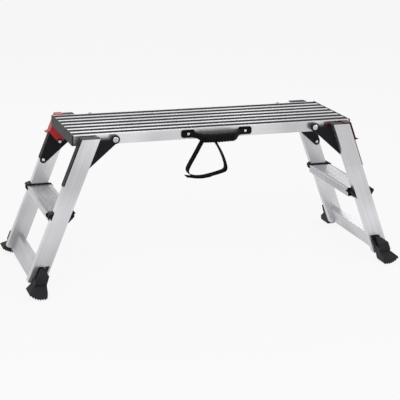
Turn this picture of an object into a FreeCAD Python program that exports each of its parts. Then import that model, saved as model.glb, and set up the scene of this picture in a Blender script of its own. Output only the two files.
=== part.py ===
import FreeCAD, Part
import os
import Sketcher

# Folding aluminium work platform: a ribbed deck on two rails, and two leaning leg frames that fold
# inwards under it.  X runs along the deck, Y from front (-) to back (+), Z up from the floor, with
# the origin under the middle of the deck.  Lengths are millimetres and angles degrees.

SIZES = {
    # deck
    "deck_length": 1000,
    "deck_width": 300,
    "deck_height": 512,
    "skin": 5,
    "rib_depth": 8,
    "rib_width": 3,
    "strip_pitch": 42.4,
    "strip_width": 23,
    "strip_seat": 1.2,
    "strip_proud": 0.5,
    "rail_depth": 35,
    "rail_width": 24,
    "rail_wall": 2.2,
    "cap_lip": 6,
    "cap_over": 0.6,
    "member_width": 44,
    "member_depth": 17,
    "member_wall": 2.5,
    "member_reach": 300,
    # leg frames
    "lean": 21.6,
    "stile_wide": 56,
    "stile_deep": 26.5,
    "stile_wall": 2,
    "stile_from_end": 86.7,
    "stile_gap": 17.5,
    "stile_drop": 5,
    "stile_bottom": 18,
    "lid": 2,
    "tread_height": 261,
    "tread_depth": 88,
    "tread_thick": 29,
    "tread_wall": 2.2,
    "tread_end": 4,
    "stretcher_low": 20,
    "stretcher_tall": 62,
    "stretcher_thick": 24,
    "stretcher_inset": 16,
    # hinge brackets
    "pivot_from_end": 142.5,
    "pivot_drop": 17,
    "boss_radius": 14.8,
    "boss_neck": 10,
    "boss_back": 13.5,
    "boss_rise": 1.5,
    "plate": 4,
    "rail_clear": 1,
    "lobe_drop": 162,
    "lobe_across": 49,
    "lobe_radius": 12,
    "flange": 3,
    "bolt_radius": 5,
    "bolt_play": 0.05,
    "bolt_head": 9.2,
    "bolt_head_rise": 2.6,
    "rivet_radius": 3,
    "rivet_head": 6,
    "rivet_rise": 2.2,
    "rivet_play": 0.05,
    # latch
    "latch_drop": 97,
    "latch_across": 17,
    "latch_sheet": 3,
    "latch_clear": 0.7,
    "latch_eye": 9,
    "pin_radius": 3,
    "pin_play": 0.05,
    # feet
    "sole_radius": 65,
    "sole_length": 57,
    "sole_inboard": 4,
    "sole_near": 42,
    "sole_far": 98.5,
    "sole_flat": 1.4,
    "foot_top": 85,
    "tooth_depth": 4,
    # handle and strap
    "handle_spacing": 204,
    "handle_pad": 48,
    "handle_pad_tall": 27,
    "handle_drop": 3,
    "grip_length": 128,
    "grip_tall": 30,
    "grip_drop": 14,
    "grip_gap": 16,
    "grip_thick": 22,
    "screw_radius": 2.5,
    "strap_wide": 30,
    "strap_thick": 2.5,
}
STRIPS = 7
TEETH = 7

doc = FreeCAD.newDocument("work_platform")
sheet = doc.addObject("Spreadsheet::Sheet", "size")
for row, (name, value) in enumerate(SIZES.items(), 1):
    sheet.set(f"A{row}", name)
    sheet.set(f"B{row}", str(value))
    sheet.setAlias(f"B{row}", name)
doc.recompute()
pieces = []


def number(formula):
    """The present value of a formula in the sheet's sizes."""
    return float(sheet.evalExpression(str(formula)))


# ---------------------------------------------------------------- formulas for places
END = "size.deck_length / 2"
TOP = "size.deck_height"
RAIL_FACE = "(size.deck_width / 2)"
STILE_IN = "(size.deck_width / 2 + size.stile_gap)"
STILE_OUT = "(size.deck_width / 2 + size.stile_gap + size.stile_deep)"
STILE_TOP = "(size.deck_height - size.stile_drop)"
ACROSS = "(size.stile_wide / cos(size.lean))"
PIVOT_X = "(size.deck_length / 2 - size.pivot_from_end)"
PIVOT_Z = "(size.deck_height - size.pivot_drop)"
LOBE_Z = "(size.deck_height - size.lobe_drop)"
PIN_Z = "(size.deck_height - size.latch_drop)"


def stile(z, across="0"):
    """X on the leaning stile at height z, so far outboard of its inboard edge, measured level."""
    inboard = "size.deck_length / 2 - size.stile_from_end"
    return f"({inboard} + (size.deck_height - ({z})) * tan(size.lean) + ({across}))"


def level(thickness):
    """How far across, measured level, a thickness square to the stile reaches."""
    return f"(({thickness}) / cos(size.lean))"


LOBE_X = stile(LOBE_Z, "size.lobe_across")
PIN_X = stile(PIN_Z, "size.latch_across")
RIVET_Z = f"({TOP} - 25)"
RIVET_X = stile(RIVET_Z, 36)
FOOT_SCREW_Z = "66"
FOOT_SCREW_X = stile(FOOT_SCREW_Z, 31)
RIVETS = [(LOBE_X, LOBE_Z), (RIVET_X, RIVET_Z)]


def span(side, near, far):
    """A stretch of Y given as distances from the middle, on the front (-1) or the back (1)."""
    return (f"-({far})", f"-({near})") if side < 0 else (f"({near})", f"({far})")


# ---------------------------------------------------------------- sketches and features
def new_body(label, turned=False):
    body = doc.addObject("PartDesign::Body", label)
    if turned:
        body.Placement = FreeCAD.Placement(
            FreeCAD.Vector(), FreeCAD.Rotation(FreeCAD.Vector(0, 0, 1), 180)
        )
    pieces.append(body)
    return body


def new_sketch(body, plane, low):
    """A sketch on the plane through the origin that faces an axis, moved along it to low."""
    sketch = body.newObject("Sketcher::SketchObject", "outline")
    base = [item for item in body.Origin.OriginFeatures if item.Role == plane][0]
    sketch.AttachmentSupport = (base, "")
    sketch.MapMode = "FlatFace"
    sign = "-" if plane == "XZ_Plane" else ""
    sketch.setExpression("AttachmentOffset.Base.z", f"{sign}({low})")
    return sketch


def pin_point(sketch, item, point, here, place):
    """Tie a sketch point to its two formulas."""
    for kind, value, formula in zip(("DistanceX", "DistanceY"), here, place):
        index = sketch.addConstraint(Sketcher.Constraint(kind, -1, 1, item, point, value))
        sketch.setExpression(f"Constraints[{index}]", str(formula))


def draw_polygon(sketch, outline):
    first = sketch.GeometryCount
    spots = [FreeCAD.Vector(number(a), number(b), 0) for a, b in outline]
    count = len(spots)
    for i in range(count):
        sketch.addGeometry(Part.LineSegment(spots[i], spots[(i + 1) % count]))
    for i in range(count):
        after = first + (i + 1) % count
        sketch.addConstraint(Sketcher.Constraint("Coincident", first + i, 2, after, 1))
    for i in range(count):
        pin_point(sketch, first + i, 1, (spots[i].x, spots[i].y), outline[i])


def draw_circle(sketch, centre, radius):
    middle = FreeCAD.Vector(number(centre[0]), number(centre[1]), 0)
    circle = Part.Circle(middle, FreeCAD.Vector(0, 0, 1), number(radius))
    item = sketch.addGeometry(circle)
    pin_point(sketch, item, 3, (middle.x, middle.y), centre)
    index = sketch.addConstraint(Sketcher.Constraint("Radius", item, number(radius)))
    sketch.setExpression(f"Constraints[{index}]", str(radius))


def extrude(body, plane, low, high, outlines, cut=False):
    """Add or cut the outlines between low and high along the plane's world axis.

    An outline is a list of points, or a (centre, radius) pair for a circle.
    """
    sketch = new_sketch(body, plane, low)
    for outline in outlines:
        if isinstance(outline, tuple):
            draw_circle(sketch, *outline)
        else:
            draw_polygon(sketch, outline)
    feature = body.newObject("PartDesign::Pocket" if cut else "PartDesign::Pad", "step")
    feature.Profile = sketch
    feature.setExpression("Length", f"({high}) - ({low})")
    feature.Reversed = (plane == "XZ_Plane") != cut
    sketch.Visibility = False
    before = body.Shape.Volume if cut else 0
    doc.recompute()
    if cut and not body.Shape.Volume < before:
        raise RuntimeError(f"{body.Label}: a cut removed nothing")
    return feature


def add(body, plane, low, high, *outlines):
    return extrude(body, plane, low, high, outlines)


def cut(body, plane, low, high, *outlines):
    return extrude(body, plane, low, high, outlines, cut=True)


def loft(body, stations):
    """Add straight-sided flesh through outlines that face along Y, each with its place on Y."""
    sketches = []
    for y, outline in stations:
        sketch = new_sketch(body, "XZ_Plane", y)
        draw_polygon(sketch, outline)
        sketch.Visibility = False
        sketches.append(sketch)
    feature = body.newObject("PartDesign::AdditiveLoft", "arm")
    feature.Profile = sketches[0]
    feature.Sections = sketches[1:]
    feature.Ruled = True
    doc.recompute()
    return feature


def soften(body, radius, wanted):
    """Fillet the edges of the body that wanted() picks."""
    tip = body.Tip
    edges = tip.Shape.Edges
    names = [f"Edge{i}" for i, edge in enumerate(edges, 1) if wanted(edge)]
    if not names:
        raise RuntimeError(f"{body.Label}: no edge to soften")
    fillet = body.newObject("PartDesign::Fillet", "soften")
    fillet.Base = (tip, names)
    fillet.setExpression("Radius", str(radius))
    doc.recompute()
    return fillet


def runs_along(edge, axis):
    """Whether an edge is straight and parallel to X, Y or Z (0, 1 or 2)."""
    if not isinstance(edge.Curve, Part.Line):
        return False
    return abs(abs(edge.Curve.Direction[axis]) - 1) < 1e-6


def box_outline(x_low, x_high, z_low, z_high):
    return [(x_low, z_low), (x_high, z_low), (x_high, z_high), (x_low, z_high)]


def band(z_low, z_high, near, far):
    """A stretch of the leaning stile's face between two level distances from its inboard edge."""
    return [
        (stile(z_low, near), z_low),
        (stile(z_low, far), z_low),
        (stile(z_high, far), z_high),
        (stile(z_high, near), z_high),
    ]


# ---------------------------------------------------------------- round parts
def place(item, x, y, z, turn):
    """Stand a primitive at x, y, z with its axis turned from +Z about the X axis."""
    spin = f"rotation(vector(1; 0; 0); {turn})"
    item.setExpression("Placement", f"placement(vector({x}; {y}; {z}); {spin})")


def rod(x, z, low, high, radius):
    """A round bar along Y."""
    item = doc.addObject("Part::Cylinder", "rod")
    item.setExpression("Radius", str(radius))
    item.setExpression("Height", f"({high}) - ({low})")
    place(item, x, low, z, -90)
    return item


def dome(x, z, y, side, radius, rise):
    """A domed head on the plane at y that bulges to the front (-1) or the back (1)."""
    ball = f"((({radius})^2 + ({rise})^2) / (2 * ({rise})))"
    item = doc.addObject("Part::Sphere", "dome")
    item.setExpression("Radius", ball)
    item.setExpression("Angle1", f"asin(({ball} - ({rise})) / {ball})")
    item.Angle2 = 90
    sunk = f"({y}) - ({side}) * ({ball} - ({rise}))"
    place(item, x, sunk, z, 90 if side < 0 else -90)
    return item


def fused(*members):
    item = doc.addObject("Part::MultiFuse", "fastener")
    item.Shapes = list(members)
    return item


def group(label, members, turned=False):
    item = doc.addObject("Part::Compound", label)
    item.Links = members
    if turned:
        item.Placement = FreeCAD.Placement(
            FreeCAD.Vector(), FreeCAD.Rotation(FreeCAD.Vector(0, 0, 1), 180)
        )
    pieces.append(item)
    return item


# ---------------------------------------------------------------- deck
def strip_middle(index):
    return f"({index - (STRIPS - 1) / 2}) * size.strip_pitch"


def make_panel():
    """Full-width top skin with a seat for each grip strip and a rib under each bare band."""
    half = "size.deck_width / 2"
    seat = f"{TOP} - size.strip_seat"
    under = f"{TOP} - size.skin"
    rib_end = f"{under} - size.rib_depth"
    top = []
    for index in range(STRIPS):
        middle = strip_middle(index)
        edge_low = f"{middle} - size.strip_width / 2"
        edge_high = f"{middle} + size.strip_width / 2"
        top += [(edge_low, TOP), (edge_low, seat), (edge_high, seat), (edge_high, TOP)]
    bottom = []
    for index in range(STRIPS - 2, -1, -1):
        middle = f"{strip_middle(index)} + size.strip_pitch / 2"
        high = f"{middle} + size.rib_width / 2"
        low = f"{middle} - size.rib_width / 2"
        bottom += [(high, under), (high, rib_end), (low, rib_end), (low, under)]
    outline = [(f"-{half}", under), (f"-{half}", TOP)] + top + [(half, TOP), (half, under)] + bottom
    body = new_body("deck_panel")
    reach = f"({END} - size.cap_lip)"
    add(body, "YZ_Plane", f"-{reach}", reach, outline)
    rim = number("size.deck_width") / 2

    def outer_top(edge):
        middle = edge.CenterOfMass
        return runs_along(edge, 0) and abs(abs(middle.y) - rim) < 0.01 and middle.z > number(seat)

    soften(body, "size.skin / 2", outer_top)


def make_strips():
    """Ribbed rubber grip strips, one in each seat."""
    strips = []
    for index in range(STRIPS):
        item = doc.addObject("Part::Box", "strip")
        item.setExpression("Length", "size.deck_length - 2 * size.cap_lip")
        item.setExpression("Width", "size.strip_width")
        item.setExpression("Height", "size.strip_seat + size.strip_proud")
        low = f"{strip_middle(index)} - size.strip_width / 2"
        x = f"size.cap_lip - {END}"
        place(item, x, low, f"{TOP} - size.strip_seat", 0)
        strips.append(item)
    group("grip_strips", strips)


def make_rails():
    """A box rail under each long edge, with a cross hole at each pivot."""
    low = f"{TOP} - size.rail_depth"
    high = f"{TOP} - size.skin"
    wall = "size.rail_wall"
    reach = f"({END} - size.cap_lip)"
    for name, side in (("front", -1), ("rear", 1)):
        body = new_body(f"{name}_rail")
        near, far = span(side, f"{RAIL_FACE} - size.rail_width", RAIL_FACE)
        inner_low, inner_high = f"{low} + {wall}", f"{high} - {wall}"
        inner = box_outline(f"{near} + {wall}", f"{far} - {wall}", inner_low, inner_high)
        add(body, "YZ_Plane", f"-{reach}", reach, box_outline(near, far, low, high))
        cut(body, "YZ_Plane", f"-{reach}", reach, inner)
        holes = [((f"{way} * {PIVOT_X}", PIVOT_Z), "size.bolt_radius") for way in (-1, 1)]
        cut(body, "XZ_Plane", near, far, *holes)


def make_members():
    """Channels that tie the rails together under the panel."""
    high = f"{TOP} - size.skin - size.rib_depth"
    low = f"{high} - size.member_depth"
    half = "size.member_width / 2"
    wall = "size.member_wall"
    reach = f"({RAIL_FACE} - size.rail_width)"
    for name, way in (("left", -1), ("centre", 0), ("right", 1)):
        body = new_body(f"{name}_cross_member")
        middle = f"({way}) * size.member_reach"
        x_low, x_high = f"{middle} - {half}", f"{middle} + {half}"
        add(body, "XZ_Plane", f"-{reach}", reach, box_outline(x_low, x_high, low, high))
        hollow = box_outline(f"{x_low} + {wall}", f"{x_high} - {wall}", low, f"{high} - {wall}")
        cut(body, "XZ_Plane", f"-{reach}", reach, hollow)


def make_end_caps():
    """Plastic caps over the deck's ends, with plugs that fill the rails' mouths."""
    low = f"{TOP} - size.rail_depth"
    high = f"{TOP} + size.cap_over"
    half = "size.deck_width / 2"
    wall = "(size.rail_wall + 0.3)"
    for name, way in (("left", -1), ("right", 1)):
        body = new_body(f"{name}_end_cap")
        inner = f"({END} - size.cap_lip)"
        outer = f"({END})"
        x_low, x_high = (f"-{outer}", f"-{inner}") if way < 0 else (inner, outer)
        add(body, "YZ_Plane", x_low, x_high, box_outline(f"-{half}", half, low, high))

        def outer_edge(edge):
            return abs(abs(edge.CenterOfMass.x) - number(END)) < 0.01

        soften(body, "size.cap_lip / 3", outer_edge)
        plugs = []
        for side in (-1, 1):
            near, far = span(side, f"{RAIL_FACE} - size.rail_width", RAIL_FACE)
            plug_top = f"{TOP} - size.skin - {wall}"
            plug_low = f"{low} + {wall}"
            plugs.append(box_outline(f"{near} + {wall}", f"{far} - {wall}", plug_low, plug_top))
        plug_end = f"({inner} - 20)"
        p_low, p_high = (f"-{inner}", f"-{plug_end}") if way < 0 else (plug_end, inner)
        add(body, "YZ_Plane", p_low, p_high, *plugs)


def make_pivot_bolts():
    """Shoulder bolts through each rail, on which a leg bracket turns, with a nut inside the rail."""
    for name, way in (("left", -1), ("right", 1)):
        x = f"({way}) * {PIVOT_X}"
        bolts = []
        for side in (-1, 1):
            end = f"{STILE_IN} + size.boss_rise + 0.5"
            near, far = span(side, f"{RAIL_FACE} - size.rail_width - 6", end)
            face = far if side > 0 else near
            shank = rod(x, PIVOT_Z, near, far, "size.bolt_radius")
            head = dome(x, PIVOT_Z, face, side, "size.bolt_head", "size.bolt_head_rise")
            inside = f"{RAIL_FACE} - size.rail_width"
            nut_near, nut_far = span(side, f"{inside} - 5", inside)
            nut = rod(x, PIVOT_Z, nut_near, nut_far, "size.bolt_head * 0.9")
            bolts.append(fused(shank, head, nut))
        group(f"{name}_pivot_bolts", bolts)


# ---------------------------------------------------------------- handle and strap
def make_handle():
    """Carry handle on the front rail: two screwed pads and a grip that stands off and hangs lower."""
    face = RAIL_FACE
    pad_high = f"{TOP} - size.handle_drop"
    pad_low = f"{pad_high} - size.handle_pad_tall"
    grip_high = f"{TOP} - size.grip_drop"
    grip_low = f"{grip_high} - size.grip_tall"
    grip_near = f"({face} + size.grip_gap)"
    grip_far = f"({face} + size.grip_gap + size.grip_thick)"
    pad_face = f"({face} + 7)"
    half = "(size.grip_length / 2)"
    middle = "(size.handle_spacing / 2)"
    outer = f"({middle} + size.handle_pad / 2)"
    inner = f"({middle} - size.handle_pad / 2)"
    outline = [
        (f"-{outer}", f"-{face}"),
        (f"-{outer}", f"-{pad_face}"),
        (f"-{inner} - 12", f"-{pad_face}"),
        (f"-{half} - 6", f"-{grip_far} + 6"),
        (f"-{half}", f"-{grip_far}"),
        (half, f"-{grip_far}"),
        (f"{half} + 6", f"-{grip_far} + 6"),
        (f"{inner} + 12", f"-{pad_face}"),
        (outer, f"-{pad_face}"),
        (outer, f"-{face}"),
        (inner, f"-{face}"),
        (half, f"-{grip_near}"),
        (f"-{half}", f"-{grip_near}"),
        (f"-{inner}", f"-{face}"),
    ]
    body = new_body("carry_handle")
    add(body, "XY_Plane", grip_low, grip_high, outline)
    below_left = box_outline(f"-{outer} - 1", f"-{inner} + 2", f"{grip_low} - 1", pad_low)
    below_right = box_outline(f"{inner} - 2", f"{outer} + 1", f"{grip_low} - 1", pad_low)
    cut(body, "XZ_Plane", f"-{grip_far} - 1", f"-{face} + 1", below_left, below_right)
    left_pad = box_outline(f"-{outer}", f"-{inner}", pad_low, pad_high)
    right_pad = box_outline(inner, outer, pad_low, pad_high)
    add(body, "XZ_Plane", f"-{pad_face}", f"-{face}", left_pad, right_pad)
    screw_z = f"{pad_low} + size.handle_pad_tall / 2"
    holes = [((f"({way}) * {middle}", screw_z), "size.screw_radius") for way in (-1, 1)]
    cut(body, "XZ_Plane", f"-{pad_face}", f"-{face}", *holes)
    screws = []
    for way in (-1, 1):
        x = f"({way}) * {middle}"
        shank = rod(x, screw_z, f"-{pad_face}", f"-{face}", "size.screw_radius")
        head = dome(x, screw_z, f"-{pad_face}", -1, "size.screw_radius * 1.8", "1.6")
        screws.append(fused(shank, head))
    group("handle_screws", screws)


def make_strap():
    """Webbing loop hanging from the grip, its width lying along Y."""
    top = f"({TOP} - size.grip_drop - size.grip_tall)"
    middle = f"({RAIL_FACE} + size.grip_gap + size.grip_thick / 2)"
    thick = "size.strap_thick"
    left_side = [(-66, 0), (-112, -80), (-113, -96), (-100, -112)]
    right_side = [(-62, -118), (4, -106), (28, -92), (28, -78), (-3, 0)]
    outer = left_side + right_side
    inward = [(1, 0), (1, 0), (1, 0.5), (0.5, 1), (0, 1), (-0.3, 1), (-1, 0.5), (-1, 0), (-1, 0)]
    ring = [(f"{x}", f"{top} + ({z})") for x, z in outer]
    inner = [
        (f"{x} + ({dx}) * {thick}", f"{top} + ({z}) + ({dz}) * {thick}")
        for (x, z), (dx, dz) in zip(reversed(outer), reversed(inward))
    ]
    body = new_body("carry_strap")
    y_low, y_high = f"-{middle} - size.strap_wide / 2", f"-{middle} + size.strap_wide / 2"
    add(body, "XZ_Plane", y_low, y_high, ring + inner)


# ---------------------------------------------------------------- leg frames
def fastener_holes(side, with_screw=False):
    """Holes for the bracket's rivets, for the latch pin at the front and for the foot's screw."""
    rivet = "size.rivet_radius + size.rivet_play"
    holes = [(spot, rivet) for spot in RIVETS]
    if side < 0:
        holes.append(((PIN_X, PIN_Z), "size.pin_radius + size.rivet_play"))
    if with_screw:
        holes.append(((FOOT_SCREW_X, FOOT_SCREW_Z), "size.screw_radius + size.rivet_play"))
    return holes


def make_stile(label, side, turned):
    """Leaning box stile, cut level at the top and square at the foot, with a window for the foot."""
    bottom_x = stile("size.stile_bottom")
    outboard_z = "size.stile_bottom + size.stile_wide * sin(size.lean)"
    outline = [
        (stile(STILE_TOP), STILE_TOP),
        (stile(STILE_TOP, ACROSS), STILE_TOP),
        (f"{bottom_x} + size.stile_wide * cos(size.lean)", outboard_z),
        (bottom_x, "size.stile_bottom"),
    ]
    low, high = span(side, STILE_IN, STILE_OUT)
    body = new_body(label, turned)
    add(body, "XZ_Plane", low, high, outline)
    wall = "size.stile_wall"
    hollow = band("-40", f"{TOP} + 40", level(wall), f"{ACROSS} - {level(wall)}")
    cut(body, "XZ_Plane", f"{low} + {wall}", f"{high} - {wall}", hollow)
    window = band("-20", "size.foot_top + 3", "size.stile_wall * 3", f"{ACROSS} * 0.7")
    window_near, window_far = span(side, f"{STILE_OUT} - {wall} - 1", f"{STILE_OUT} + 1")
    cut(body, "XZ_Plane", window_near, window_far, window)
    hole_near, hole_far = span(side, STILE_IN, f"{STILE_IN} + {wall}")
    cut(body, "XZ_Plane", hole_near, hole_far, *fastener_holes(side, with_screw=True))


def make_lid(label, side, turned):
    """Plastic lid on the stile's top end, bevelled at both sides, with a plug inside the tube."""
    rise = f"({STILE_TOP} + size.lid)"
    outline = [
        (stile(STILE_TOP, -3), STILE_TOP),
        (stile(STILE_TOP, f"{ACROSS} + 3"), STILE_TOP),
        (stile(STILE_TOP, f"{ACROSS} - 1"), rise),
        (stile(STILE_TOP, 1), rise),
    ]
    low, high = span(side, STILE_IN, STILE_OUT)
    body = new_body(label, turned)
    add(body, "XZ_Plane", low, high, outline)
    wall = "(size.stile_wall + 0.3)"
    plug = band(f"{STILE_TOP} - 12", STILE_TOP, level(wall), f"{ACROSS} - {level(wall)}")
    add(body, "XZ_Plane", f"{low} + {wall}", f"{high} - {wall}", plug)


def make_bracket(label, side, turned):
    """Hinge bracket: boss on the rail, plate inside the stile, flange round its outboard edge."""
    dip = f"atan(({PIVOT_Z} - {LOBE_Z}) / ({LOBE_X} - {PIVOT_X}))"
    drop = "(size.lobe_radius)"
    outline = [
        (f"{PIVOT_X} - {drop} * sin({dip})", f"{PIVOT_Z} - {drop} * cos({dip})"),
        (PIVOT_X, PIVOT_Z),
        (stile(f"{PIVOT_Z}", -6), PIVOT_Z),
        (stile(STILE_TOP, -3), f"{STILE_TOP} - 4"),
        (stile(STILE_TOP, 0), STILE_TOP),
        (stile(STILE_TOP, ACROSS), STILE_TOP),
        (stile(LOBE_Z, ACROSS), LOBE_Z),
        (LOBE_X, LOBE_Z),
        (f"{LOBE_X} - {drop} * sin({dip})", f"{LOBE_Z} - {drop} * cos({dip})"),
    ]
    body = new_body(label, turned)
    near, far = span(side, f"{STILE_IN} - size.plate", STILE_IN)
    add(body, "XZ_Plane", near, far, outline)
    add(body, "XZ_Plane", near, far, ((LOBE_X, LOBE_Z), "size.lobe_radius"))
    boss_near, boss_far = span(side, f"{RAIL_FACE} + size.rail_clear", f"{STILE_IN} + size.boss_rise")
    add(body, "XZ_Plane", boss_near, boss_far, ((PIVOT_X, PIVOT_Z), "size.boss_neck"))
    disc_near, disc_far = span(side, f"{RAIL_FACE} + size.boss_back", f"{STILE_IN} + size.boss_rise")
    add(body, "XZ_Plane", disc_near, disc_far, ((PIVOT_X, PIVOT_Z), "size.boss_radius"))
    flange = band(f"{LOBE_Z} + 5", STILE_TOP, ACROSS, f"{ACROSS} + {level('size.flange')}")
    flange_near, flange_far = span(side, f"{STILE_IN} - size.plate", f"{STILE_OUT} - 1")
    add(body, "XZ_Plane", flange_near, flange_far, flange)
    hole = ((PIVOT_X, PIVOT_Z), "size.bolt_radius + size.bolt_play")
    cut(body, "XZ_Plane", boss_near, boss_far, hole)
    cut(body, "XZ_Plane", near, far, *fastener_holes(side))


def make_bracket_rivets(label, turned):
    """A rivet through each bracket's lobe and one near its middle, headed on the inner side."""
    rivets = []
    for side in (-1, 1):
        for x, z in RIVETS:
            near, far = span(side, f"{STILE_IN} - size.plate", f"{STILE_IN} + size.stile_wall + 3")
            face = near if side > 0 else far
            shank = rod(x, z, near, far, "size.rivet_radius")
            rivets.append(fused(shank, dome(x, z, face, -side, "size.rivet_head", "size.rivet_rise")))
    return group(label, rivets, turned)


def make_tread(label, turned):
    """Hollow step tread between the stiles: ribbed top, rounded nosings and a tapered underside."""
    high = "size.tread_height"
    low = f"({high} - size.tread_thick)"
    middle = stile(high, f"{ACROSS} / 2")
    half = "(size.tread_depth / 2)"
    grooves = 9
    pitch = f"(size.tread_depth - 24) / {grooves}"
    top = []
    for index in range(grooves):
        start = f"{middle} + {half} - 12 - {index} * {pitch}"
        top.append((start, high))
        top.append((f"{start} - {pitch} * 0.5", f"{high} - 1.2"))
        top.append((f"{start} - {pitch} * 0.6", high))
    outline = [
        (f"{middle} - {half} + 2", high),
        (f"{middle} - {half}", f"{high} - 2"),
        (f"{middle} - {half}", f"{high} - 6"),
        (f"{middle} - {half} + 2", f"{high} - 8"),
        (f"{middle} - {half} + 2", f"{low} + 3"),
        (f"{middle} - {half} + 5", low),
        (f"{middle} + {half} - 5", low),
        (f"{middle} + {half} - 2", f"{low} + 3"),
        (f"{middle} + {half} - 2", f"{high} - 8"),
        (f"{middle} + {half}", f"{high} - 6"),
        (f"{middle} + {half}", f"{high} - 2"),
        (f"{middle} + {half} - 2", high),
    ] + top
    reach = f"({STILE_IN} - size.tread_end)"
    body = new_body(label, turned)
    add(body, "XZ_Plane", f"-{reach}", reach, outline)
    wall = "size.tread_wall"
    side = f"{half} - 2 - {wall}"
    ceiling = f"{high} - 1.2 - {wall}"
    hollow = box_outline(f"{middle} - ({side})", f"{middle} + {side}", f"{low} + {wall}", ceiling)
    cut(body, "XZ_Plane", f"-{reach}", reach, hollow)


def make_step_bracket(label, side, turned):
    """Plastic step end: a shoe round the tread's end and a collar round the stile's two edges."""
    high = "(size.tread_height + 4)"
    middle = stile("size.tread_height", f"{ACROSS} / 2")
    half = "(size.tread_depth / 2 + 6)"
    shoe = [
        (f"{middle} - {half} + 8", high),
        (f"{middle} - {half}", f"{high} - 11"),
        (f"{middle} - 6", f"{high} - 47"),
        (f"{middle} + 8", f"{high} - 47"),
        (f"{middle} + {half} - 14", f"{high} - 30"),
        (f"{middle} + {half} - 1", f"{high} - 13"),
        (f"{middle} + {half}", f"{high} - 5"),
        (f"{middle} + {half} - 8", high),
    ]
    body = new_body(label, turned)
    near, far = span(side, f"{STILE_IN} - size.tread_end", STILE_IN)
    add(body, "XZ_Plane", near, far, shoe)
    collar_near, collar_far = span(side, f"{STILE_IN} - size.tread_end", f"{STILE_OUT} + 2")
    inboard = [
        (stile(f"{high} - 1", -0.3), f"{high} - 1"),
        (stile(f"{high} - 1", -4), f"{high} - 1"),
        (stile(f"{high} - 10", -12), f"{high} - 10"),
        (stile(f"{high} - 15", -12), f"{high} - 15"),
        (stile(f"{high} - 34", -0.3), f"{high} - 34"),
    ]
    outboard = [
        (stile(f"{high} + 4", f"{ACROSS} + 0.3"), f"{high} + 4"),
        (stile(f"{high} - 1", f"{ACROSS} + 14"), f"{high} - 1"),
        (stile(f"{high} - 6", f"{ACROSS} + 15"), f"{high} - 6"),
        (stile(f"{high} - 22", f"{ACROSS} + 0.3"), f"{high} - 22"),
    ]
    add(body, "XZ_Plane", collar_near, collar_far, inboard, outboard)


def leaning_box(x, z, wide, tall):
    """A rectangle from its lower inboard corner, turned with the stile's lean."""
    lean_x, lean_z = "cos(size.lean)", "sin(size.lean)"
    return [
        (f"{x}", f"{z}"),
        (f"{x} + {wide} * {lean_x}", f"{z} + {wide} * {lean_z}"),
        (f"{x} + {wide} * {lean_x} - {tall} * {lean_z}", f"{z} + {wide} * {lean_z} + {tall} * {lean_x}"),
        (f"{x} - {tall} * {lean_z}", f"{z} + {tall} * {lean_x}"),
    ]


def make_stretcher(label, turned):
    """Box stretcher low between the stiles, leaning with them."""
    x = stile("size.stretcher_low", "size.stretcher_inset")
    wall = "size.stile_wall"
    inner_x = f"({x} + {wall} * (cos(size.lean) - sin(size.lean)))"
    inner_z = f"(size.stretcher_low + {wall} * (cos(size.lean) + sin(size.lean)))"
    wide = f"(size.stretcher_thick - 2 * {wall})"
    tall = f"(size.stretcher_tall - 2 * {wall})"
    outline = leaning_box(x, "size.stretcher_low", "size.stretcher_thick", "size.stretcher_tall")
    body = new_body(label, turned)
    add(body, "XZ_Plane", f"-{STILE_IN}", STILE_IN, outline)
    cut(body, "XZ_Plane", f"-{STILE_IN}", STILE_IN, leaning_box(inner_x, inner_z, wide, tall))


def sole_points(middle_x):
    """The serrated arc under a foot, from outboard to inboard."""
    radius = "size.sole_radius"
    reach = f"(size.sole_length / {TEETH})"
    start = f"({stile('0')} - size.sole_inboard + size.sole_length)"
    points = []
    for index in range(TEETH):
        for share, depth in ((0, 0), (0.5, 0), (0.62, 1), (0.88, 1)):
            x = f"({start} - {index + share} * {reach})"
            arc = f"{radius} - sqrt({radius}^2 - ({x} - {middle_x})^2) - size.sole_flat"
            points.append((x, f"max({arc}; 0) + {depth} * size.tooth_depth"))
    return points


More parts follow.
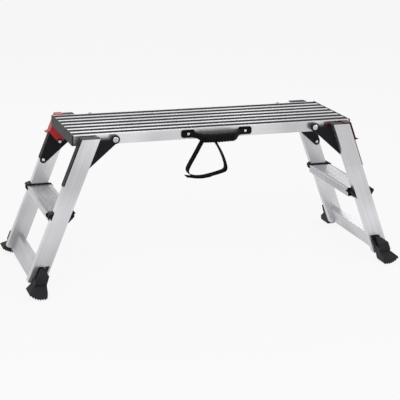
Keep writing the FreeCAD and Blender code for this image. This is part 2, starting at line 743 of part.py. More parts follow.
def make_foot(label, side, turned):
    """Rubber foot: an arm out through the stile's window, widening to a block with a toothed sole."""
    middle_x = f"({stile('0')} + 6)"
    inboard_x = f"({stile('0')} - size.sole_inboard)"
    block = sole_points(middle_x) + [
        (inboard_x, "size.tooth_depth"),
        (stile(29, 3.5), 29),
        (stile(52, 9), 52),
        (stile(52, 50), 52),
        (stile(39, 48), 39),
        (f"{inboard_x} + size.sole_length + 1", 22),
    ]
    body = new_body(label, turned)
    back = f"({STILE_OUT} + 2)"
    far = f"({RAIL_FACE} + size.sole_far + size.stile_gap)"
    low, high = span(side, back, far)
    add(body, "XZ_Plane", low, high, block)
    sign = f"({side})"
    front_trim = [
        (f"{sign} * ({far} - 26)", 74),
        (f"{sign} * ({far} - 30)", 38),
        (f"{sign} * ({far} - 3)", 20),
        (f"{sign} * {far}", 8),
        (f"{sign} * ({far} + 5)", 8),
        (f"{sign} * ({far} + 5)", 74),
    ]
    sole_near = f"({STILE_IN} + size.sole_near)"
    back_trim = [
        (f"{sign} * ({back} - 5)", "-10"),
        (f"{sign} * {sole_near}", "-10"),
        (f"{sign} * {sole_near}", 6),
        (f"{sign} * {back}", 40),
        (f"{sign} * ({back} - 5)", 40),
    ]
    x_low = stile("size.foot_top", -60)
    x_high = stile("0", f"{ACROSS} + 60")
    cut(body, "YZ_Plane", x_low, x_high, front_trim)
    cut(body, "YZ_Plane", x_low, x_high, back_trim)
    top = "size.foot_top - 2"
    arm = [
        (f"{STILE_IN} + size.stile_wall + 0.4", (24, 44), (36, 44), (36, top), (24, top)),
        (f"{STILE_OUT} + 3", (20, 32), (38, 32), (38, top), (23, top)),
        (f"{STILE_OUT} + 20", (17, 32), (42, 32), (40, top), (21, f"{top} - 2")),
        (f"{far} - 26", (8, 44), (50, 44), (50, 74), (11, 70)),
    ]
    loft(body, [(f"{sign} * ({y})", [(stile(z, t), z) for t, z in corners]) for y, *corners in arm])
    hole = ((FOOT_SCREW_X, FOOT_SCREW_Z), "size.screw_radius + size.rivet_play")
    hole_near, hole_far = span(side, f"{STILE_IN} + 1", f"{STILE_IN} + size.stile_wall + 13")
    cut(body, "XZ_Plane", hole_near, hole_far, hole)


def make_foot_screws(label, turned):
    """A screw through each stile's inner wall into the foot's plug."""
    screws = []
    x, z = FOOT_SCREW_X, FOOT_SCREW_Z
    for side in (-1, 1):
        near, far = span(side, STILE_IN, f"{STILE_IN} + size.stile_wall + 12")
        face = near if side > 0 else far
        shank = rod(x, z, near, far, "size.screw_radius")
        screws.append(fused(shank, dome(x, z, face, -side, "size.rivet_head", "size.rivet_rise")))
    return group(label, screws, turned)


# ---------------------------------------------------------------- latch
def make_latch(label, turned):
    """Latch lever: a cheek beside the bracket, a strip down the stile's outboard edge, a top tab."""
    clear = "size.latch_clear"
    sheet_level = level("size.latch_sheet")
    strip_near = f"({ACROSS} + {level('size.flange')} + {clear} + 0.6)"
    strip_far = f"({strip_near} + {sheet_level})"
    tab_low = f"({STILE_TOP} + size.lid + 1.2)"
    tab_high = f"({tab_low} + size.latch_sheet * 0.6)"
    lip_z = f"({PIN_Z} + 33)"
    cheek_near = f"({STILE_IN} - size.plate - 4 - size.latch_sheet)"
    cheek_far = f"({STILE_IN} - size.plate - 4)"
    outline = [
        (f"{PIN_X} - size.latch_eye * 0.8", f"{PIN_Z} - 4"),
        (f"{PIN_X}", f"{PIN_Z} - size.latch_eye"),
        (f"{PIN_X} + size.latch_eye", f"{PIN_Z} - 1"),
        (stile(lip_z, strip_near), lip_z),
        (stile(lip_z, strip_far), lip_z),
        (stile(tab_high, strip_far), tab_high),
        (stile(tab_high, f"{ACROSS} - 18"), tab_high),
        (stile(STILE_TOP, -12), f"{STILE_TOP} - 2"),
        (stile(STILE_TOP, -16), f"{STILE_TOP} - 8"),
        (stile(f"{PIN_Z} + 12", 2), f"{PIN_Z} + 12"),
    ]
    body = new_body(label, turned)
    low, high = span(-1, cheek_near, cheek_far)
    add(body, "XZ_Plane", low, high, outline)
    strip = band(lip_z, tab_high, strip_near, strip_far)
    wide_low, wide_high = span(-1, cheek_near, STILE_OUT)
    add(body, "XZ_Plane", wide_low, wide_high, strip)
    tab = [
        (stile(tab_low, f"{ACROSS} - 18"), tab_low),
        (stile(tab_low, strip_near), tab_low),
        (stile(tab_high, strip_near), tab_high),
        (stile(tab_high, f"{ACROSS} - 18"), tab_high),
    ]
    add(body, "XZ_Plane", wide_low, wide_high, tab)
    lip = [
        (stile(lip_z, strip_near), lip_z),
        (stile(f"{lip_z} + 6", strip_far), f"{lip_z} + 6"),
        (stile(f"{lip_z} + 2", f"{strip_far} + 11"), f"{lip_z} + 2"),
        (stile(lip_z, f"{strip_far} + 11"), f"{lip_z}"),
    ]
    lip_low, lip_high = span(-1, f"{cheek_near} + 6", f"{STILE_OUT} - 6")
    add(body, "XZ_Plane", lip_low, lip_high, lip)
    hole = ((PIN_X, PIN_Z), "size.pin_radius + size.pin_play")
    cut(body, "XZ_Plane", low, high, hole)


def make_latch_pin(label, turned):
    """Pin fixed in the bracket, on which the latch turns, with a head inside the cheek."""
    inner = f"({STILE_IN} - size.plate - 4 - size.latch_sheet - 0.6)"
    near, far = span(-1, inner, f"{STILE_IN} + size.stile_wall + 2")
    shank = rod(PIN_X, PIN_Z, near, far, "size.pin_radius")
    head = dome(PIN_X, PIN_Z, far, 1, "size.rivet_head", "size.rivet_rise")
    return group(label, [fused(shank, head)], turned)


def make_latch_spring(label, turned):
    """Torsion spring round the latch pin, between the cheek and the bracket, as one coiled sleeve."""
    near, far = span(-1, f"{STILE_IN} - size.plate - 3.6", f"{STILE_IN} - size.plate - 0.4")
    outer = rod(PIN_X, PIN_Z, near, far, "size.pin_radius + 2.6")
    inner = rod(PIN_X, PIN_Z, near, far, "size.pin_radius + 0.6")
    item = doc.addObject("Part::Cut", "coil")
    item.Base = outer
    item.Tool = inner
    return group(label, [item], turned)


def make_leg(name, turned):
    """One leg frame, built at the right-hand end with its latch at the front, or turned half round."""
    corners = (("rear", -1), ("front", 1)) if turned else (("front", -1), ("rear", 1))
    for corner, side in corners:
        make_stile(f"{name}_{corner}_stile", side, turned)
        make_lid(f"{name}_{corner}_stile_lid", side, turned)
        make_bracket(f"{name}_{corner}_hinge_bracket", side, turned)
        make_step_bracket(f"{name}_{corner}_step_bracket", side, turned)
        make_foot(f"{name}_{corner}_foot", side, turned)
    make_bracket_rivets(f"{name}_bracket_rivets", turned)
    make_tread(f"{name}_step_tread", turned)
    make_stretcher(f"{name}_stretcher", turned)
    make_foot_screws(f"{name}_foot_screws", turned)
    make_latch(f"{name}_latch_lever", turned)
    make_latch_pin(f"{name}_latch_pin", turned)
    make_latch_spring(f"{name}_latch_spring", turned)


def write_parts():
    """Check every object and write each piece to its own file."""
    doc.recompute()
    for item in doc.Objects:
        if "Invalid" in item.State or "Error" in item.State:
            raise RuntimeError(f"{item.Label} failed: {item.State}")
    os.makedirs("parts", exist_ok=True)
    for piece in pieces:
        shape = piece.Shape
        if shape.isNull() or not shape.isValid() or not shape.Solids:
            raise RuntimeError(f"{piece.Label} has no valid shape")
        shape.exportStep(os.path.join("parts", f"{piece.Label}.step"))
    print(len(pieces), "parts written")


make_panel()
make_strips()
make_rails()
make_members()
make_end_caps()
make_pivot_bolts()
make_handle()
make_strap()
make_leg("right", False)
make_leg("left", True)
write_parts()
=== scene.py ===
import math

import bmesh
import bpy
from mathutils import Matrix, Vector


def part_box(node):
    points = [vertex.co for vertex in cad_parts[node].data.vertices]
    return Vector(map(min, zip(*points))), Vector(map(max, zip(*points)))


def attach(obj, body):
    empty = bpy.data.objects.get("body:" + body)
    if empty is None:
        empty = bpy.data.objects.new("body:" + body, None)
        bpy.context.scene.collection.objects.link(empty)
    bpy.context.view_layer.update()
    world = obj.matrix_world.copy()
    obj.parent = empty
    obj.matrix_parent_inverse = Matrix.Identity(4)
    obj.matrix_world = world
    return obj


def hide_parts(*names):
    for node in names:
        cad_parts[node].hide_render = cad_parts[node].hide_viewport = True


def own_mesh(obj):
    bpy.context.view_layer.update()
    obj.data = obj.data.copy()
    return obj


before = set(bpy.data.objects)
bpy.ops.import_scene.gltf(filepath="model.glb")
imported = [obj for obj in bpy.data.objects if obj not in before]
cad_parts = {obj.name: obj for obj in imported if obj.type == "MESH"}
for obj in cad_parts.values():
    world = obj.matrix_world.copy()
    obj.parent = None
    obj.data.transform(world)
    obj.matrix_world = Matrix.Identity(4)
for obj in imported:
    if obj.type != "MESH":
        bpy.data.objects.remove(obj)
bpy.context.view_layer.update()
MM = 0.001


# ---------------------------------------------------------------- node graphs
class Graph:
    """A short way to write a material's nodes."""

    def __init__(self, name):
        self.material = bpy.data.materials.new(name)
        self.material.use_nodes = True
        self.nodes = self.material.node_tree.nodes
        self.links = self.material.node_tree.links
        self.nodes.clear()
        self.out = self.nodes.new("ShaderNodeOutputMaterial")
        self.shader = self.nodes.new("ShaderNodeBsdfPrincipled")
        self.join(self.shader.outputs[0], self.out.inputs["Surface"])
        self.coordinates = self.nodes.new("ShaderNodeTexCoord").outputs["Object"]

    def join(self, a, b):
        self.links.new(a, b)

    def stretched(self, scale, turn):
        """Object coordinates turned, then scaled."""
        turner = self.nodes.new("ShaderNodeMapping")
        turner.inputs["Rotation"].default_value = turn
        self.join(self.coordinates, turner.inputs["Vector"])
        mapping = self.nodes.new("ShaderNodeMapping")
        mapping.inputs["Scale"].default_value = scale
        self.join(turner.outputs[0], mapping.inputs["Vector"])
        return mapping.outputs[0]

    def noise(self, vector, scale=1.0, detail=3.0):
        node = self.nodes.new("ShaderNodeTexNoise")
        node.inputs["Scale"].default_value = scale
        node.inputs["Detail"].default_value = detail
        self.join(vector, node.inputs["Vector"])
        return node.outputs["Fac"]

    def wave(self, vector, scale, axis):
        node = self.nodes.new("ShaderNodeTexWave")
        node.bands_direction = axis
        node.inputs["Scale"].default_value = scale
        self.join(vector, node.inputs["Vector"])
        return node.outputs["Fac"]

    def span(self, value, low, high, out_low, out_high):
        node = self.nodes.new("ShaderNodeMapRange")
        node.inputs["From Min"].default_value = low
        node.inputs["From Max"].default_value = high
        node.inputs["To Min"].default_value = out_low
        node.inputs["To Max"].default_value = out_high
        self.join(value, node.inputs["Value"])
        return node.outputs["Result"]

    def maths(self, operation, a, b):
        node = self.nodes.new("ShaderNodeMath")
        node.operation = operation
        for socket, value in zip(node.inputs, (a, b)):
            if isinstance(value, (int, float)):
                socket.default_value = value
            else:
                self.join(value, socket)
        return node.outputs[0]

    def colours(self, factor, *stops):
        node = self.nodes.new("ShaderNodeValToRGB")
        ramp = node.color_ramp
        while len(ramp.elements) < len(stops):
            ramp.elements.new(0.5)
        for element, (place, colour) in zip(ramp.elements, stops):
            element.position = place
            element.color = (*colour, 1)
        self.join(factor, node.inputs["Fac"])
        return node.outputs["Color"]

    def bump(self, height, distance, strength=1.0, after=None):
        node = self.nodes.new("ShaderNodeBump")
        node.inputs["Distance"].default_value = distance
        node.inputs["Strength"].default_value = strength
        self.join(height, node.inputs["Height"])
        if after is not None:
            self.join(after, node.inputs["Normal"])
        return node.outputs["Normal"]

    def set(self, **values):
        for name, value in values.items():
            socket = self.shader.inputs[name.replace("_", " ")]
            if isinstance(value, bpy.types.NodeSocket):
                self.join(value, socket)
            else:
                socket.default_value = value
        return self.material


BLACK = (0, 0, 0)
COOL_WHITE = (0.985, 0.985, 1.02)
DIE_LINES = (3, 900, 900)
# height in metres below which painted shade darkens the aluminium towards the floor
PAINTED_SHADE_BELOW = 0.2


def aluminium(name, turn, brightness, rough=0.34, serrated=False):
    """Satin extruded aluminium: fine lines along X after the turn, slow clouds, and painted shade that
    darkens it near the floor.
    """
    g = Graph(name)
    lines = g.noise(g.stretched(DIE_LINES, turn), detail=2.0)
    clouds = g.noise(g.coordinates, 5.0, 1.0)
    height = g.nodes.new("ShaderNodeSeparateXYZ")
    g.join(g.coordinates, height.inputs[0])
    # brightness carries painted light and shade as well as the metal's own tone
    value = g.maths("MULTIPLY", g.span(lines, 0.34, 0.62, 0.88, 1.0), brightness)
    value = g.maths("MULTIPLY", value, g.span(clouds, 0.35, 0.65, 0.82, 1.12))
    # painted shade: the colour falls to 0.75 of itself at the floor, over the lowest 0.2 m
    value = g.maths("MULTIPLY", value, g.span(height.outputs["Z"], 0.0, PAINTED_SHADE_BELOW, 0.75, 1.0))
    normal = g.bump(lines, 0.00003, 0.3)
    if serrated:
        teeth = g.wave(g.coordinates, 28, "Y")
        # painted shade: the colour darkens to 0.65 in the serration grooves, where the bump is low
        value = g.maths("MULTIPLY", value, g.span(teeth, 0.2, 0.7, 0.65, 1.0))
        normal = g.bump(teeth, 0.0003, 0.5, normal)
    colour = g.colours(value, (0.0, BLACK), (1.0, COOL_WHITE))
    roughness = g.span(lines, 0.35, 0.65, rough + 0.06, rough - 0.06)
    return g.set(Base_Color=colour, Metallic=0.9, Roughness=roughness, Normal=normal)


def grained(name, colour, rough=0.5, grain=0.00005, size=900, sheen=0.3, metallic=0.0):
    """A fine grain with faint mottling, for moulded plastic and for zinc plate."""
    g = Graph(name)
    fine = g.noise(g.coordinates, size, 3.0)
    broad = g.noise(g.coordinates, 28, 3.0)
    low = tuple(c * 0.85 for c in colour)
    high = tuple(min(c * 1.18, 1) for c in colour)
    return g.set(Base_Color=g.colours(broad, (0.35, low), (0.65, high)),
                 Roughness=g.span(broad, 0.3, 0.7, rough - 0.05, rough + 0.07),
                 Normal=g.bump(fine, grain, 0.6), Specular_IOR_Level=sheen, Metallic=metallic)


def webbing():
    """Black woven webbing: a fine twill of crossing waves."""
    g = Graph("black_webbing")
    across = g.wave(g.coordinates, 260, "Y")
    along = g.wave(g.coordinates, 180, "DIAGONAL")
    weave = g.maths("MULTIPLY", across, along)
    colour = g.colours(weave, (0.1, (0.0015, 0.0015, 0.002)), (0.9, (0.006, 0.006, 0.007)))
    return g.set(Base_Color=colour, Roughness=0.8, Specular_IOR_Level=0.1,
                 Normal=g.bump(weave, 0.0002, 0.7))


LEAN = math.radians(21.6)
ALONG_X = (0, 0, 0)
ALONG_Y = (0, 0, math.radians(90))
UP_RIGHT_STILE = (0, math.radians(-90) + LEAN, 0)
UP_LEFT_STILE = (0, math.radians(-90) - LEAN, 0)

# one aluminium in lit and shaded copies: each part's brightness is partly the metal's own tone and partly
# painted light and shade, darkest on the cross member
materials = {
    "rail": aluminium("aluminium_rail", ALONG_X, 0.75),
    "deck": aluminium("aluminium_deck", ALONG_X, 0.80, 0.3),
    "member": aluminium("aluminium_member", ALONG_Y, 0.6),
    "tread": aluminium("aluminium_tread", ALONG_Y, 0.70, 0.28, serrated=True),
    "stretcher": aluminium("aluminium_stretcher", ALONG_Y, 0.72),
    "right_stile": aluminium("aluminium_right_stile", UP_RIGHT_STILE, 0.78),
    "left_stile": aluminium("aluminium_left_stile", UP_LEFT_STILE, 0.78),
    "dark": grained("dark_plastic", (0.006, 0.006, 0.008), 0.5, sheen=0.18),
    "cap": grained("cap_plastic", (0.035, 0.037, 0.039), 0.55, 0.00008, 700, 0.25),
    "rubber": grained("foot_rubber", (0.017, 0.017, 0.020), 0.6, 0.00012, 500, 0.25),
    "strip": grained("strip_rubber", (0.022, 0.022, 0.026), 0.7, 0.00005, 900, 0.25),
    "grip": grained("grip_rubber", (0.002, 0.002, 0.0026), 0.55, 0.00008, 700, 0.12),
    "red": grained("latch_red", (0.50, 0.010, 0.016), 0.32, 0.00003, 600, 0.45),
    # painted shade: a darker copy of the latch red, for the right latch lever that sits in shadow
    "painted_shade_red": grained("shaded_latch_red", (0.10, 0.006, 0.014), 0.4, 0.00003, 600, 0.3),
    "steel": grained("zinc_steel", (0.62, 0.62, 0.64), 0.28, 0.00002, 500, metallic=1.0),
    "webbing": webbing(),
}


MATERIAL_OF = {"rail": "rail", "panel": "deck", "cross_member": "member", "strips": "strip", "tread": "tread",
               "stretcher": "stretcher", "foot_screws": "steel", "foot": "rubber",
               # the right latch lever takes the painted-shade copy of the latch red
               "right_latch_lever": "painted_shade_red", "latch_lever": "red", "end_cap": "cap", "lid": "cap",
               "rivets": "steel", "bolts": "steel", "screws": "steel", "pin": "steel", "spring": "steel",
               "bracket": "dark", "handle": "grip", "strap": "webbing"}


def material_for(node):
    """The material of the first word in MATERIAL_OF that the node's name holds."""
    if node.endswith("stile"):
        return materials[node.split("_")[0] + "_stile"]
    for word, name in MATERIAL_OF.items():
        if word in node:
            return materials[name]
    raise ValueError(node)


SAME_POINT = 1e-6
FLAT_WITHIN = math.radians(0.5)
SHARP_FROM = math.radians(30)


def rounded_edges(item, width):
    """Soft edges on a CAD node, by modifiers alone."""
    weld = item.modifiers.new("weld", "WELD")
    weld.merge_threshold = SAME_POINT
    flat = item.modifiers.new("flat", "DECIMATE")
    flat.decimate_type = "DISSOLVE"
    flat.angle_limit = FLAT_WITHIN
    bevel = item.modifiers.new("bevel", "BEVEL")
    bevel.width = width
    bevel.segments = 2
    bevel.limit_method = "ANGLE"
    bevel.angle_limit = SHARP_FROM
    bevel.use_clamp_overlap = True
    bevel.harden_normals = True


BEVELS = {"end_cap": 0.0008, "lid": 0.0007, "hinge_bracket": 0.0008, "step_bracket": 0.0012, "foot": 0.0012,
          "latch_lever": 0.0006, "stile": 0.0012, "stretcher": 0.0012, "rail": 0.0008, "tread": 0.0004}
for name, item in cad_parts.items():
    item.data.materials.clear()
    item.data.materials.append(material_for(name))
    for word, width in BEVELS.items():
        if word in name and "screws" not in name:
            rounded_edges(item, width)
            break


# ---------------------------------------------------------------- detailed pieces
def piece(name, body, slot, material, vertices, faces, bevel=0.0, smooth=True):
    """A mesh piece in metres that rides on a body."""
    mesh = bpy.data.meshes.new(name)
    mesh.from_pydata([tuple(v) for v in vertices], [], faces)
    tidy = bmesh.new()
    tidy.from_mesh(mesh)
    bmesh.ops.recalc_face_normals(tidy, faces=tidy.faces)
    tidy.to_mesh(mesh)
    tidy.free()
    mesh.materials.append(material)
    mesh.polygons.foreach_set("use_smooth", [smooth] * len(mesh.polygons))
    item = bpy.data.objects.new(name, mesh)
    bpy.context.scene.collection.objects.link(item)
    if bevel:
        modifier = item.modifiers.new("bevel", "BEVEL")
        modifier.width = bevel
        modifier.segments = 3
        modifier.limit_method = "ANGLE"
        modifier.harden_normals = True
    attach(item, body)
    return item


def lofted(rings, loop=False):
    """A skin through rings of as many points each, capped at both ends unless it closes in a loop."""
    size = len(rings[0])
    vertices = [point for ring in rings for point in ring]
    faces = []
    last = len(rings) if loop else len(rings) - 1
    for i in range(last):
        for j in range(size):
            k = (j + 1) % size
            n = (i + 1) % len(rings)
            faces.append((i * size + j, i * size + k, n * size + k, n * size + j))
    if not loop:
        faces.append(tuple(range(size))[::-1])
        faces.append(tuple((len(rings) - 1) * size + j for j in range(size)))
    return vertices, faces


def smooth_path(points, steps):
    """A Catmull-Rom curve through points, with so many steps between each two."""
    path = []
    for i in range(len(points) - 1):
        before, start = points[max(i - 1, 0)], points[i]
        end, after = points[i + 1], points[min(i + 2, len(points) - 1)]
        for step in range(steps):
            t = step / steps
            path.append(tuple(
                0.5 * (2 * b + (c - a) * t + (2 * a - 5 * b + 4 * c - d) * t * t
                       + (3 * b - a - 3 * c + d) * t ** 3)
                for a, b, c, d in zip(before, start, end, after)))
    return path + [tuple(points[-1])]


def make_grip_strips():
    """Seven rubber strips, each with fine ribs along the deck."""
    low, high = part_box("grip_strips")
    seat, width, count, ribs = 23 * MM, 25.4 * MM, 7, 5
    pitch = (high.y - low.y - seat) / (count - 1)
    rib, depth = width / ribs, 0.9 * MM
    vertices, faces = [], []
    for strip in range(count):
        start = low.y + strip * pitch - (width - seat) / 2
        outline = [(start, low.z)]
        for i in range(ribs):
            y = start + i * rib
            outline += [(y + 0.14 * rib, high.z - depth), (y + 0.3 * rib, high.z),
                        (y + 0.7 * rib, high.z), (y + 0.86 * rib, high.z - depth)]
        outline += [(start + width, low.z)]
        rings = [[(x, y, z) for y, z in outline] for x in (low.x, high.x)]
        more_vertices, more_faces = lofted(rings)
        faces += [tuple(i + len(vertices) for i in face) for face in more_faces]
        vertices += more_vertices
    strips = piece("ribbed_grip_strips", "deck", "grip_rubber", materials["strip"], vertices, faces,
                   smooth=False)
    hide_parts("grip_strips")


CORNER_STEPS = 5


def rounded_rectangle(wide, tall, radius):
    """Points of a rectangle with round corners, about its middle."""
    points = []
    for corner, (sx, sz) in enumerate(((1, 1), (-1, 1), (-1, -1), (1, -1))):
        for step in range(CORNER_STEPS + 1):
            angle = math.radians(90 * (corner + step / CORNER_STEPS))
            points.append((sx * (wide / 2 - radius) + radius * math.cos(angle),
                           sz * (tall / 2 - radius) + radius * math.sin(angle)))
    return points


GRIP_FROM_FRONT = 11 * MM
GRIP_FROM_UNDER = 15 * MM
PAD_BELOW_SCREWS = 9 * MM
SCREW_HEAD_RADIUS = 4.5 * MM
RIDGE_PITCH = 10.2
RIDGE_DEPTH = 3.4
RIDGED_HALF = RIDGE_PITCH * 4.5
BLUNTNESS = 2.6
GRIP_STEPS = 28


def make_handle():
    """Moulded grip with finger ridges, swept into two rimmed pads screwed to the rail.

    Each station along one half is x, how far back, how far up, half the depth and half the height.
    """
    low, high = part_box("carry_handle")
    face = high.y
    grip_y = low.y + GRIP_FROM_FRONT
    grip_z = low.z + GRIP_FROM_UNDER
    pad_z = (high.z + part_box("handle_screws")[0].z - PAD_BELOW_SCREWS) / 2
    half = [(0, 0, -1, 12, 15.4), (46, 0, 0, 12, 15), (54, 1, 0.5, 11, 14.4), (62, 4, 2, 8.8, 13),
            (70, 10, 5, 7, 10.5), (78, 16.5, 8.5, 5, 9.5), (88, 21, 10.5, 3.6, 10.5), (96, 22.5, 11, 3, 10.5)]
    stations = [(-x, *rest) for x, *rest in half[:0:-1]] + half
    path = smooth_path(stations, 40)
    rings = []
    for x, back, rise, deep, tall in path:
        ridge = 0.0
        if abs(x) < RIDGED_HALF:
            ridge = RIDGE_DEPTH * (abs(math.cos(x / RIDGE_PITCH * math.pi)) ** 0.5 - 1)
        ring = []
        for step in range(GRIP_STEPS):
            angle = 2 * math.pi * step / GRIP_STEPS
            c, n = math.cos(angle), math.sin(angle)
            blunt = (abs(c) ** BLUNTNESS + abs(n) ** BLUNTNESS) ** (-1 / BLUNTNESS)
            ring.append((x * MM, grip_y + (back + (deep + ridge) * c * blunt) * MM,
                         grip_z + (rise + (tall + ridge * 0.8) * n * blunt) * MM))
        rings.append(ring)
    grip = piece("handle_grip", "deck", "foot_rubber", materials["grip"], *lofted(rings))
    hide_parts("carry_handle")
    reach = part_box("handle_screws")[1].x - SCREW_HEAD_RADIUS
    for side, way in (("left", -1), ("right", 1)):
        rings = []
        for wide, tall, radius, y in ((48, 27, 8, 0), (48, 27, 8, 3.6), (46, 25, 7.5, 5), (41.5, 20.5, 6, 5),
                                      (39.5, 18.5, 5, 3.4)):
            outline = rounded_rectangle(wide * MM, tall * MM, radius * MM)
            rings.append([(way * reach + x, face - y * MM, pad_z + z) for x, z in outline])
        piece(f"handle_pad_{side}", "deck", "foot_rubber", materials["grip"], *lofted(rings), bevel=0.4 * MM)


def ribbon(points, thick):
    """Rings of a flat band that lies along Y, through points that each give x, y, z and a width."""
    rings = []
    for i, (x, y, z, wide) in enumerate(points):
        before, after = points[max(i - 1, 0)], points[min(i + 1, len(points) - 1)]
        along = Vector((after[0] - before[0], after[2] - before[2])).normalized()
        out = Vector((-along.y, along.x)) * thick / 2
        half = wide / 2
        rim = 0.8 * MM
        section = ((-half, 0.35), (-half + rim, 1), (half - rim, 1), (half, 0.35),
                   (half, -0.35), (half - rim, -1), (-half + rim, -1), (-half, -0.35))
        rings.append([(x + out.x * k, y + across, z + out.y * k) for across, k in section])
    return rings


ROUTE_STEPS = 5


def make_strap():
    """Webbing loop that hangs from the grip, with its loose tail lapped along the bottom."""
    low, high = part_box("carry_strap")
    y = (low.y + high.y) / 2
    top = high.z
    wide, thick, tail_thick = 33 * MM, 2.4 * MM, 1.6 * MM
    route = [(-14, 4), (-8, -8), (2, -24), (12, -44), (20, -64), (25, -80), (26, -92), (21, -100), (6, -105),
             (-20, -111), (-50, -116), (-76, -116), (-96, -110), (-108, -100), (-111, -90), (-107, -78),
             (-98, -61), (-86, -40), (-72, -14), (-62, 4), (-55, 18)]
    loop = smooth_path([(x * MM, y, top + z * MM, wide) for x, z in route], ROUTE_STEPS)
    strap = piece("carry_strap_webbing", "deck", "webbing", materials["webbing"],
                  *lofted(ribbon(loop, thick)))
    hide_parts("carry_strap")
    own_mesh(strap)
    tail_route = [(-30, -115), (-60, -118.6), (-86, -117), (-104, -113.5), (-116, -112)]
    tail_path = smooth_path([(x * MM, y, top + z * MM, wide) for x, z in tail_route], ROUTE_STEPS)
    tail = piece("carry_strap_tail", "deck", "webbing", materials["webbing"],
                 *lofted(ribbon(tail_path, tail_thick)))
    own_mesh(tail)


def make_springs():
    """Torsion springs: three coils of wire round each latch pin."""
    for side in ("left", "right"):
        low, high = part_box(f"{side}_latch_spring")
        middle = (low + high) / 2
        wire = 0.5 * MM
        radius = (high.x - low.x) / 2 - wire
        turns, steps, wire_steps = 3, 24, 8
        rings = []
        for i in range(turns * steps + 1):
            angle = 2 * math.pi * i / steps
            out = Vector((math.cos(angle), 0, math.sin(angle)))
            y = low.y + wire + (high.y - low.y - 2 * wire) * i / (turns * steps)
            centre = Vector((middle.x, y, middle.z)) + out * radius
            ring = []
            for j in range(wire_steps):
                a = 2 * math.pi * j / wire_steps
                ring.append(centre + out * wire * math.cos(a) + Vector((0, wire * math.sin(a), 0)))
            rings.append(ring)
        spring = piece(f"{side}_torsion_spring", f"{side}_leg", "steel", materials["steel"], *lofted(rings))
        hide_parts(f"{side}_latch_spring")


TURNED_STEPS = 40


def ring_piece(name, body, slot, material, centre, near, far, outer, inner):
    """A turned ring about Y with softened outer corners, from y = near to y = far."""
    soft = min(0.6 * MM, abs(far - near) / 3) * (1 if far > near else -1)
    edge = abs(soft)
    section = [(inner, near), (outer - edge, near), (outer, near + soft), (outer, far - soft),
               (outer - edge, far), (inner, far)]
    rings = []
    for i in range(TURNED_STEPS):
        angle = 2 * math.pi * i / TURNED_STEPS
        c, n = math.cos(angle), math.sin(angle)
        rings.append([(centre.x + r * c, y, centre.z + r * n) for r, y in section])
    return piece(name, body, slot, material, *lofted(rings, loop=True))


WASHER_OUTER = 10.5 * MM
WASHER_INNER = 3.3 * MM
WASHER_PROUD = 1.0 * MM
WASHER_GAP = 0.1 * MM


def make_latch_washers():
    """Black washers that cover the eye of each latch lever round its pin."""
    for side, way in (("right", -1), ("left", 1)):
        low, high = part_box(f"{side}_latch_pin")
        lever_low, lever_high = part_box(f"{side}_latch_lever")
        inner_face = lever_low.y if way > 0 else lever_high.y
        centre = (low + high) / 2
        ring_piece(f"{side}_latch_washer", f"{side}_latch", "dark_plastic", materials["dark"], centre,
                   inner_face - way * WASHER_PROUD, inner_face - way * WASHER_GAP,
                   WASHER_OUTER, WASHER_INNER)


BRACKET_PLATE = 4 * MM
RIVET_HEAD_RADIUS = 6 * MM
COLLAR_OUTER = 11 * MM
COLLAR_INNER = 7.2 * MM
COLLAR_PROUD = 1.4 * MM
COLLAR_SUNK = 0.3 * MM


def make_rivet_collars():
    """Raised black collars round the rivet at the lower end of each hinge bracket."""
    for side, way in (("right", 1), ("left", -1)):
        low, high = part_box(f"{side}_bracket_rivets")
        x = high.x - RIVET_HEAD_RADIUS if way > 0 else low.x + RIVET_HEAD_RADIUS
        centre = Vector((x, 0, low.z + RIVET_HEAD_RADIUS))
        for end, out in (("front", -1), ("rear", 1)):
            stile_low, stile_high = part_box(f"{side}_{end}_stile")
            face = (stile_high.y if out < 0 else stile_low.y) - out * BRACKET_PLATE
            ring_piece(f"{side}_{end}_rivet_collar", f"{side}_leg", "dark_plastic", materials["dark"], centre,
                       face - out * COLLAR_PROUD, face + out * COLLAR_SUNK, COLLAR_OUTER, COLLAR_INNER)


make_grip_strips()
make_handle()
make_strap()
make_springs()
make_latch_washers()
make_rivet_collars()


# ---------------------------------------------------------------- floor, lights and camera
FLOOR_SIZE = 40
FLOOR_DROP = 0.0006
FLOOR_GLOW = 0.88
ROOM_LIGHT = 0.55
WHITE_IN_REFLECTIONS = 0.64


def make_floor():
    """Pale floor that takes shadows; what the camera and reflections see of it is mostly its own glow."""
    bpy.ops.mesh.primitive_plane_add(size=FLOOR_SIZE, location=(0, 0, -FLOOR_DROP))
    floor = bpy.context.object
    floor.name = "floor"
    g = Graph("floor")
    g.set(Base_Color=(0.78, 0.78, 0.78, 1), Roughness=0.9, Specular_IOR_Level=0.1)
    rays = g.nodes.new("ShaderNodeLightPath")
    glow = g.nodes.new("ShaderNodeEmission")
    mix = g.nodes.new("ShaderNodeMixShader")
    bright = g.maths("MAXIMUM", rays.outputs["Is Camera Ray"], rays.outputs["Is Glossy Ray"])
    bright = g.maths("MULTIPLY", bright, FLOOR_GLOW)
    g.join(bright, mix.inputs[0])
    g.join(g.shader.outputs[0], mix.inputs[1])
    g.join(glow.outputs[0], mix.inputs[2])
    g.join(mix.outputs[0], g.out.inputs["Surface"])
    floor.data.materials.append(g.material)


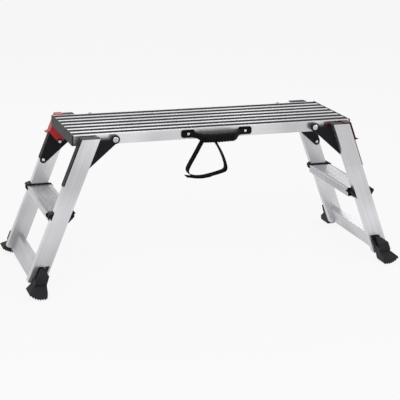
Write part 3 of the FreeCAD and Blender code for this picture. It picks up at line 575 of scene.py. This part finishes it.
def make_world():
    """Soft room light, with a white backdrop for the camera and a part of it in reflections."""
    world = bpy.data.worlds.new("studio")
    bpy.context.scene.world = world
    world.use_nodes = True
    nodes, links = world.node_tree.nodes, world.node_tree.links
    nodes.clear()
    out = nodes.new("ShaderNodeOutputWorld")
    rays = nodes.new("ShaderNodeLightPath")
    soft = nodes.new("ShaderNodeBackground")
    soft.inputs["Strength"].default_value = ROOM_LIGHT
    white = nodes.new("ShaderNodeBackground")
    white.inputs["Color"].default_value = (1, 1, 1, 1)
    white.inputs["Strength"].default_value = 1.0
    glossy = nodes.new("ShaderNodeMath")
    glossy.operation = "MULTIPLY"
    glossy.inputs[1].default_value = WHITE_IN_REFLECTIONS
    links.new(rays.outputs["Is Glossy Ray"], glossy.inputs[0])
    mix = nodes.new("ShaderNodeMixShader")
    either = nodes.new("ShaderNodeMath")
    either.operation = "MAXIMUM"
    links.new(rays.outputs["Is Camera Ray"], either.inputs[0])
    links.new(glossy.outputs[0], either.inputs[1])
    links.new(either.outputs[0], mix.inputs[0])
    links.new(soft.outputs[0], mix.inputs[1])
    links.new(white.outputs[0], mix.inputs[2])
    links.new(mix.outputs[0], out.inputs["Surface"])


def area_light(name, place, aim, size, power):
    data = bpy.data.lights.new(name, "AREA")
    data.shape = "RECTANGLE"
    data.size, data.size_y = size
    data.energy = power
    lamp = bpy.data.objects.new(name, data)
    bpy.context.scene.collection.objects.link(lamp)
    lamp.location = place
    lamp.rotation_mode = "QUATERNION"
    lamp.rotation_quaternion = (Vector(aim) - Vector(place)).to_track_quat("-Z", "Y")


CAMERA_PLACE = (-1.3713, -3.7824, 1.4545)
CAMERA_ANGLES = (19.945, -17.188, 1.482)
CAMERA_LENS = 106.47


def make_camera():
    """Camera at the photograph's viewing angle, solved from the deck's and stiles' edges."""
    yaw, pitch, roll = (math.radians(a) for a in CAMERA_ANGLES)
    forward = Vector((math.sin(yaw) * math.cos(pitch), math.cos(yaw) * math.cos(pitch), math.sin(pitch)))
    right = Vector((math.cos(yaw), -math.sin(yaw), 0))
    up = right.cross(forward)
    level_right, level_up = right.copy(), up.copy()
    right = level_right * math.cos(roll) + level_up * math.sin(roll)
    up = level_up * math.cos(roll) - level_right * math.sin(roll)
    data = bpy.data.cameras.new("camera")
    data.sensor_width = 36
    data.lens = CAMERA_LENS
    data.clip_end = 100
    camera = bpy.data.objects.new("camera", data)
    bpy.context.scene.collection.objects.link(camera)
    basis = Matrix((right, up, -forward)).transposed()
    camera.matrix_world = Matrix.Translation(CAMERA_PLACE) @ basis.to_4x4()
    bpy.context.scene.camera = camera


make_floor()
make_world()
area_light("key", (-1.2, -2.2, 2.6), (0, 0, 0.3), (2.2, 1.6), 32)
area_light("fill", (2.4, -1.6, 1.6), (0, 0, 0.3), (1.6, 1.6), 14)
area_light("back", (0.2, 2.4, 2.2), (0, 0, 0.3), (2.4, 1.2), 16)
make_camera()
bpy.context.scene.view_settings.view_transform = "Standard"
